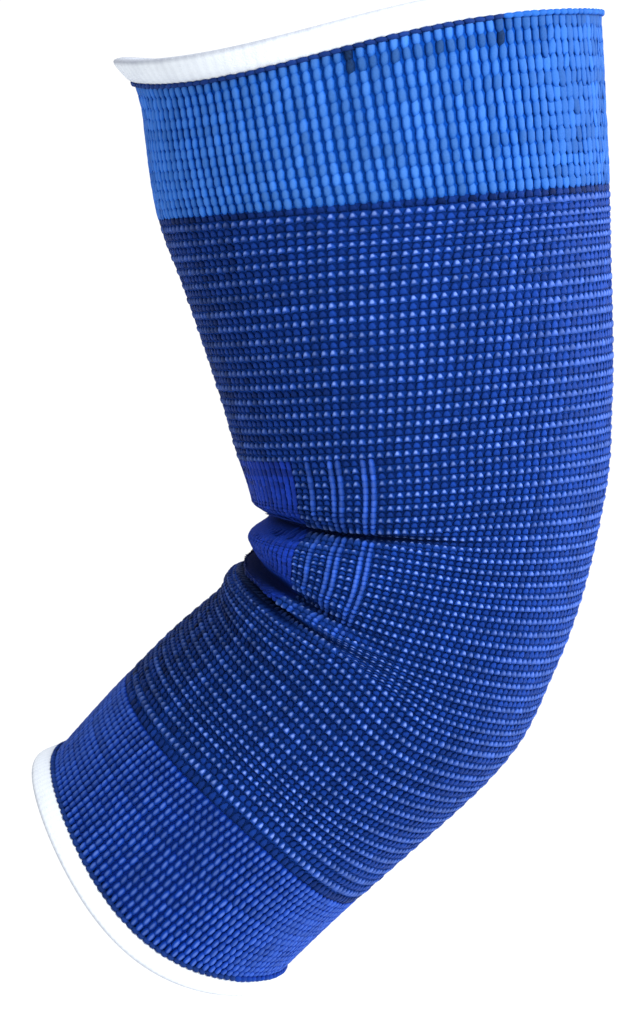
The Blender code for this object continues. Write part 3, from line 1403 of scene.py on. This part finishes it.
@dataclass
class RimRow:
    """Ends of the wales, which show as small blue stitches at the foot of a hem.

    They are dark from the crook line to an angle, and in the cuff's own yarn past it.
    """

    name: str
    course: float
    outwards: float
    yarn: Yarn
    dark_to: float
    form: SleeveForm
    length: float = 0.0015
    rise: float = 0.0001
    lift: float = -0.00015

    def build(self, kit: StitchKit) -> bpy.types.Object:
        """Makes the row of stitches.

        Args:
            kit: the tree, beads and yarns.

        Returns:
            The row as one piece.
        """
        wale = np.arange(WALES)
        course = np.full(WALES, self.course)
        level = np.zeros(WALES)
        theta = wale_angles(wale, course)
        frame = self.form.folded_frame(course, theta)
        point = frame.point + frame.down * self.outwards * self.rise + frame.normal * self.lift
        shape = kit.shapes[Yarn.RIM]
        width = shape.width * frame.radian_pitch * math.tau / WALES
        size = np.stack((width, level + shape.length * self.length, level + shape.height), axis=1)
        shade = kit.jitter.shade * np.random.default_rng(SEED).normal(size=WALES)
        corner = np.stack((wale / WALES, level, level), axis=1)
        yarn = np.where(from_crook_line(theta) < self.dark_to, Yarn.RIM, self.yarn)
        stitches = Stitches(point, frame, size, yarn, np.stack((shade, level, level)), corner)
        return kit.stitched(stitches.points_object(self.name), (1.0 / WALES, 1.0))


@dataclass(frozen=True)
class GroundFinish:
    """Finish of the backing: each zone's yarn darker as painted shade between the stitches, in
    bands of courses.
    """

    cuff: Colour = (0.001, 0.050, 0.320)
    # The cuff's backing, darker as painted shade
    lower_cuff: Colour = (0.001, 0.016, 0.185)
    light: Colour = (0.002, 0.027, 0.190)
    dark: Colour = (0.002, 0.019, 0.140)
    panel: Colour = (0.003, 0.022, 0.220)
    unevenness: float = 0.8
    # How far the painted shade in the creases darkens the backing
    gloom: float = 0.8

    def banded(self, tools: Shades, plan: KnitPlan) -> bpy.types.NodeSocket:
        """Colour of each place, by its course and wale.

        Args:
            tools: nodes of the material.
            plan: which yarn shows where.

        Returns:
            The colour.
        """
        course = tools.attribute("course")
        halves = tools.maths("MULTIPLY", tools.maths("SUBTRACT", course, plan.upper_cuff), 0.5)
        light = tools.maths("GREATER_THAN", tools.maths("FRACT", halves), 0.5)
        below_top = tools.maths("GREATER_THAN", course, plan.panel_top)
        above_bottom = tools.maths("LESS_THAN", course, plan.panel_bottom)
        plain = tools.maths("LESS_THAN", tools.attribute("from_crook"), plan.panel_plain - 0.5)
        panel = tools.maths("MULTIPLY", tools.maths("MULTIPLY", below_top, above_bottom), plain)
        upper = tools.maths("LESS_THAN", course, plan.upper_cuff)
        lower = tools.maths("GREATER_THAN", course, plan.lower_cuff)
        colour = tools.mixed(light, self.dark, self.light)
        for share, zone in ((panel, self.panel), (upper, self.cuff), (lower, self.lower_cuff)):
            colour = tools.mixed(share, colour, zone)
        return colour

    def material(self, plan: KnitPlan) -> bpy.types.Material:
        """Builds the finish of the backing's outer face.

        Args:
            plan: which yarn shows where.

        Returns:
            The material.
        """
        tools = Shades("backing")
        fibre = tools.noise(scale=1800.0, detail=3.0)
        light_left = tools.maths("MULTIPLY_ADD", tools.attribute("gloom"), -self.gloom, 1.0)
        level = tools.maths("MULTIPLY", tools.clouded(1.0, fibre, self.unevenness), light_left)
        tools.base_colour(self.banded(tools, plan), level)
        tools.bump(fibre, distance=0.0002, strength=0.8)
        tools.surface(roughness=0.80, sheen=0.03, tint=YARN_SHEEN, specular=0.05)
        return tools.material


@dataclass(frozen=True)
class LiningFinish:
    """Finish of the inner face: small upright ribs of blue with pale elastic between them."""

    blue: Colour = (0.020, 0.080, 0.360)
    pale: Colour = (0.250, 0.330, 0.560)
    unevenness: float = 0.6
    relief: float = 1.2

    def material(self) -> bpy.types.Material:
        """Builds the finish from the course and the wale of each place.

        Returns:
            The material.
        """
        tools = Shades("inner_face")
        waves = []
        for name in ("from_crook", "course"):
            turns = tools.maths("MULTIPLY", tools.attribute(name), math.tau)
            waves.append(tools.maths("SINE", turns))
        rib, stitch = waves
        height = tools.maths("MULTIPLY_ADD", tools.maths("MULTIPLY", rib, stitch), 0.5, rib)
        share = tools.ranged(height, -self.relief, self.relief, (0.0, 1.0))
        fibre = tools.noise(scale=1500.0, detail=3.0)
        level = tools.clouded(1.0, fibre, self.unevenness)
        tools.base_colour(tools.mixed(share, self.blue, self.pale), level)
        tools.bump(share, distance=0.0003, strength=0.8)
        tools.surface(roughness=0.80, sheen=0.05, tint=YARN_SHEEN, specular=0.08)
        return tools.material


@dataclass
class KnitGround:
    """Backing tube that carries the stitches: ribbed outside, with a smoother inner face."""

    form: SleeveForm
    plan: KnitPlan
    name: str = "knit_ground"
    sink: float = 0.00055
    rib: float = 0.00018
    steps_a_wale: int = 2
    inner_rows: int = 46
    crease_window: float = 3.0
    crease_samples: int = 5

    def build(self) -> bpy.types.Object:
        """Makes the tube, one closed wall that turns in at both rims.

        Returns:
            The tube as one piece.
        """
        columns = WALES * self.steps_a_wale
        wales = np.arange(columns) / self.steps_a_wale
        outer = np.arange(int(COURSES) + 1, dtype=float)
        inner = np.linspace(COURSES, 0.0, self.inner_rows + 1)
        rings = len(outer) + len(inner)
        course, wale = np.meshgrid(np.concatenate((outer, inner)), wales, indexing="ij")
        theta = wale_angles(wale, course)
        lifts = self.rib * np.cos(math.tau * wale) - self.sink
        lining = slice(len(outer), None)
        lifts[lining] = self.lining_lift(course[lining], theta[lining])
        points = self.form.points(course.ravel(), theta.ravel(), lifts.ravel())
        faces = ring_faces(rings, columns)
        mesh = smooth_mesh(self.name, points, faces)
        add_attribute(mesh, "course", "FLOAT", course)
        add_attribute(mesh, "from_crook", "FLOAT", np.abs(wale - CROOK_WALE))
        # Depth of the painted shade in the creases of the backing
        add_attribute(mesh, "gloom", "FLOAT", self.form.gloom(course.ravel(), theta.ravel()))
        mesh.materials.append(GroundFinish().material(self.plan))
        mesh.materials.append(LiningFinish().material())
        inside = (np.arange(len(faces)) // columns) >= len(outer)
        mesh.polygons.foreach_set("material_index", inside.astype(np.int32))
        add_ring_map(mesh, rings, columns)
        return new_piece(self.name, mesh)

    def lining_lift(self, course: np.ndarray, theta: np.ndarray) -> np.ndarray:
        """Heights of the inner face, whose few rows keep under the bottoms of the creases.

        Args:
            course: courses down from the upper rim, as a grid.
            theta: angles round the sleeve, as the same grid.

        Returns:
            Heights above the outer face in metres, as the same grid.
        """
        flat = theta.ravel()
        window = np.linspace(-self.crease_window, self.crease_window, self.crease_samples)
        depths = [
            self.form.depth_in_crease(np.clip(course + step, 0.0, COURSES).ravel(), flat)
            for step in window
        ]
        here = self.form.fold_heights(self.form.places(course.ravel(), flat), flat)
        return (-self.form.wall - np.max(depths, axis=0) - here).reshape(course.shape)


def smooth_mesh(name: str, points: np.ndarray, faces: np.ndarray) -> bpy.types.Mesh:
    """Makes a mesh with smooth shading.

    Args:
        name: name of the mesh.
        points: its points.
        faces: numbers of the corners of each face.

    Returns:
        The mesh.
    """
    mesh = bpy.data.meshes.new(name)
    mesh.from_pydata(points.tolist(), [], faces.tolist())
    mesh.shade_smooth()
    return mesh


def ring_faces(rings: int, columns: int) -> np.ndarray:
    """Corners of the faces between rings of points, the last of which joins the first.

    Args:
        rings: number of rings.
        columns: points in each ring.

    Returns:
        Four point numbers for each face, ring by ring, which face out when the rings go down.
    """
    ring, column = np.meshgrid(np.arange(rings), np.arange(columns), indexing="ij")
    after = (column + 1) % columns
    here = ring * columns
    below = (ring + 1) % rings * columns
    corners = (here + column, below + column, below + after, here + after)
    return np.stack(corners, axis=-1).reshape(-1, 4)


def add_ring_map(mesh: bpy.types.Mesh, rings: int, columns: int) -> None:
    """Lays the faces of closed rings flat on the surface map.

    Args:
        mesh: the mesh.
        rings: number of rings.
        columns: faces in each ring.
    """
    ring, column = np.meshgrid(np.arange(rings), np.arange(columns), indexing="ij")
    across = np.stack((column, column, column + 1, column + 1), axis=-1) / columns
    down = np.stack((ring, ring + 1, ring + 1, ring), axis=-1) / rings
    layer = mesh.uv_layers.new(name="OFBake")
    layer.uv.foreach_set("vector", np.stack((across, down), axis=-1).astype(np.float32).ravel())


@dataclass(frozen=True)
class HemFinish:
    """Finish of the white elastic: soft white ribs, with painted shade in furrows, at the lip and
    the foot.
    """

    white: Colour = (0.680, 0.730, 0.790)
    # Grey of the painted shade and of the random clouds, and the shares that the furrows, clouds,
    # lip, foot and crook side take
    grey: Colour = (0.330, 0.360, 0.430)
    furrow_shade: float = 0.12
    cloud_grey: float = 0.15
    lip_shade: float = 0.75
    foot_shade: float = 0.22
    crook_shade: float = 0.25

    def material(self) -> bpy.types.Material:
        """Builds the finish of both hems.

        Returns:
            The material.
        """
        tools = Shades("white_elastic")
        rise = tools.attribute("rise")
        noise = tools.noise(scale=140.0, detail=3.0)
        greys = (
            tools.ranged(tools.attribute("rib"), -1.0, 0.4, (self.furrow_shade, 0.0)),
            tools.ranged(noise, 0.45, 0.75, (0.0, self.cloud_grey)),
            tools.ranged(rise, 0.75, 0.98, (0.0, self.lip_shade)),
            tools.ranged(rise, 0.0, 0.40, (self.foot_shade, 0.0)),
        )
        share = tools.maths("MULTIPLY", tools.attribute("crook"), self.crook_shade)
        for grey in greys:
            share = tools.maths("ADD", share, grey)
        tools.base_colour(tools.mixed(share, self.white, self.grey), 1.0)
        tools.bump(tools.noise(scale=2200.0, detail=3.0), distance=0.0002, strength=0.7)
        tools.surface(roughness=0.80, sheen=0.15, tint=self.white, specular=0.25)
        return tools.material


@dataclass
class Hem:
    """White elastic edging on a rim, which leans outwards, most of all at the crook side.

    Its flares are in degrees, and its rib is the height of the fine rib at each wale.
    """

    name: str
    node: str
    course: float
    outwards: float
    height: float
    form: SleeveForm
    thickness: float = 0.0030
    gap: float = 0.0003
    crook_flare: float = 24.0
    back_flare: float = 6.0
    rib: float = 0.00003
    steps_a_wale: int = 3
    outline_steps: int = 20

    def build(self, finish: bpy.types.Material) -> bpy.types.Object:
        """Makes the edging as a rounded band with a fine rib at each wale.

        Args:
            finish: the white elastic.

        Returns:
            The edging as one piece.
        """
        columns = WALES * self.steps_a_wale
        wales = np.arange(columns) / self.steps_a_wale
        theta = math.pi + math.tau * (wales - CROOK_WALE) / WALES
        ribs = np.cos(math.tau * wales)
        point, normal, down = self.form.plain_frame(np.full(columns, self.course), theta)
        share = ((1.0 - np.cos(theta)) / 2.0) ** 2
        flare = np.tan(np.radians(self.back_flare + (self.crook_flare - self.back_flare) * share))
        rings = []
        rises = []
        for step in range(self.outline_steps):
            angle = math.tau * step / self.outline_steps
            rise = self.height * (0.5 - 0.5 * rounded(math.cos(angle)))
            side = 0.5 * self.thickness * rounded(math.sin(angle)) - self.form.wall / 2.0
            away = side + rise * flare + self.rib * ribs * math.sin(angle)
            out = self.outwards * (self.gap + rise)
            rings.append(point + down * out + normal * away[:, None])
            rises.append(np.full(columns, rise / self.height))
        faces = ring_faces(len(rings), columns)
        if self.outwards > 0.0:
            faces = faces[:, ::-1]
        mesh = smooth_mesh(self.name, np.vstack(rings), faces)
        add_attribute(mesh, "rib", "FLOAT", np.tile(ribs, len(rings)))
        add_attribute(mesh, "rise", "FLOAT", np.concatenate(rises))
        # Share of the crook side, where the elastic gets painted shade
        add_attribute(mesh, "crook", "FLOAT", np.tile(share ** 2, len(rings)))
        mesh.materials.append(finish)
        return new_piece(self.name, mesh)


# Power that squares up the hem's oval outline
SQUARENESS = 0.6


def rounded(value: float) -> float:
    """Squares up a sine or cosine, so that an oval becomes a band with round corners."""
    return math.copysign(abs(value) ** SQUARENESS, value)


class Lamp(NamedTuple):
    """A square soft light that faces the part, with its side in metres and its power in watts."""

    name: str
    place: Colour
    size: float
    power: float


LAMPS = (
    Lamp("key", (0.42, -0.40, 0.42), 0.35, 6.2),
    Lamp("back", (0.65, 0.45, 0.15), 0.45, 6.5),
)


@dataclass
class Studio:
    """Camera, soft light, and a plain pale floor."""

    eye: tuple[float, float, float] = (0.2314, -0.9681, 0.1003)
    target: tuple[float, float, float] = (-0.0264, -0.0059, 0.0131)
    lens: float = 165.2
    sensor: float = 36.0
    far_end: float = 20.0
    floor_height: float = -0.35
    floor_radius: float = 8.0
    floor_sides: int = 64
    floor_grey: float = 0.97
    floor_roughness: float = 0.9
    daylight: float = 1.06

    def camera(self) -> None:
        """Sets the camera at the photograph's viewing angle."""
        data = bpy.data.cameras.new("camera")
        data.lens = self.lens
        data.sensor_width = self.sensor
        data.clip_end = self.far_end
        camera = linked(bpy.data.objects.new("camera", data))
        camera.location = self.eye
        direction = Vector(self.target) - Vector(self.eye)
        camera.rotation_euler = direction.to_track_quat("-Z", "Y").to_euler()
        bpy.context.scene.camera = camera

    def light(self, lamp: Lamp) -> None:
        """Adds a light.

        Args:
            lamp: its place, size and power.
        """
        data = bpy.data.lights.new(lamp.name, "AREA")
        data.size = lamp.size
        data.energy = lamp.power
        light = linked(bpy.data.objects.new(lamp.name, data))
        light.location = lamp.place
        light.rotation_euler = (-Vector(lamp.place)).to_track_quat("-Z", "Y").to_euler()

    def floor(self) -> None:
        """Adds the floor, which isn't part of the object."""
        sides = range(self.floor_sides)
        rim = []
        for side in sides:
            angle = math.tau * side / self.floor_sides
            x = self.floor_radius * math.cos(angle)
            rim.append((x, self.floor_radius * math.sin(angle), self.floor_height))
        mesh = bpy.data.meshes.new("floor")
        mesh.from_pydata(rim, [], [tuple(sides)])
        tools = Shades("pale_floor")
        tools.link((*[self.floor_grey] * 3, 1.0), tools.shader.inputs["Base Color"])
        tools.link(self.floor_roughness, tools.shader.inputs["Roughness"])
        mesh.materials.append(tools.material)
        new_piece("floor", mesh)

    def build(self) -> None:
        """Sets up the whole studio."""
        self.camera()
        self.floor()
        for lamp in LAMPS:
            self.light(lamp)
        world = bpy.data.worlds.new("pale")
        world.use_nodes = True
        background = world.node_tree.nodes["Background"]
        background.inputs["Color"].default_value = (1.0, 1.0, 1.0, 1.0)
        background.inputs["Strength"].default_value = self.daylight
        bpy.context.scene.world = world
        bpy.context.scene.view_settings.view_transform = "Standard"


# Pieces of knit, each with its first course and the course after its last
FIELDS = (
    ("upper_cuff", 0, 13),
    ("upper_arm", 13, 47),
    ("upper_elbow", 47, 70),
    ("lower_elbow", 70, 94),
    ("forearm", 94, 124),
    ("lower_cuff", 124, 139),
)


def report(piece: bpy.types.Object) -> None:
    """Logs a piece's name and number of triangles."""
    triangles = sum(len(face.vertices) - 2 for face in piece.data.polygons)
    LOG.info("%s: %d triangles", piece.name, triangles)


def main() -> None:
    """Builds the support's looks piece by piece."""
    logging.basicConfig(level=logging.INFO, format="%(name)s: %(message)s")
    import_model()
    Studio().build()
    form = SleeveForm()
    plan = KnitPlan()
    kit = StitchKit()
    rows = [
        *(StitchField(name, first, last, form, plan) for name, first, last in FIELDS),
        RimRow("upper_rim", 0.0, outwards=-1.0, yarn=Yarn.CUFF, dark_to=137.0, form=form),
        RimRow(
            "lower_rim", COURSES, outwards=1.0, yarn=Yarn.LOWER_CUFF, dark_to=148.0, form=form
        ),
    ]
    stitches = [row.build(kit) for row in rows]
    kit.clear()
    ground = KnitGround(form, plan).build()
    white = HemFinish().material()
    hems = [
        Hem("upper_welt", "upper_hem", 0.0, outwards=-1.0, height=0.0058, form=form),
        Hem("lower_welt", "lower_hem", COURSES, outwards=1.0, height=0.0048, form=form),
    ]
    welts = [hem.build(white) for hem in hems]
    for piece in (ground, *stitches):
        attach(piece, BODY)
        report(piece)
    for hem, welt in zip(hems, welts):
        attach(welt, BODY)
        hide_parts(hem.node)
        report(welt)
    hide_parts("knit_sleeve")


if __name__ == "__main__":
    main()
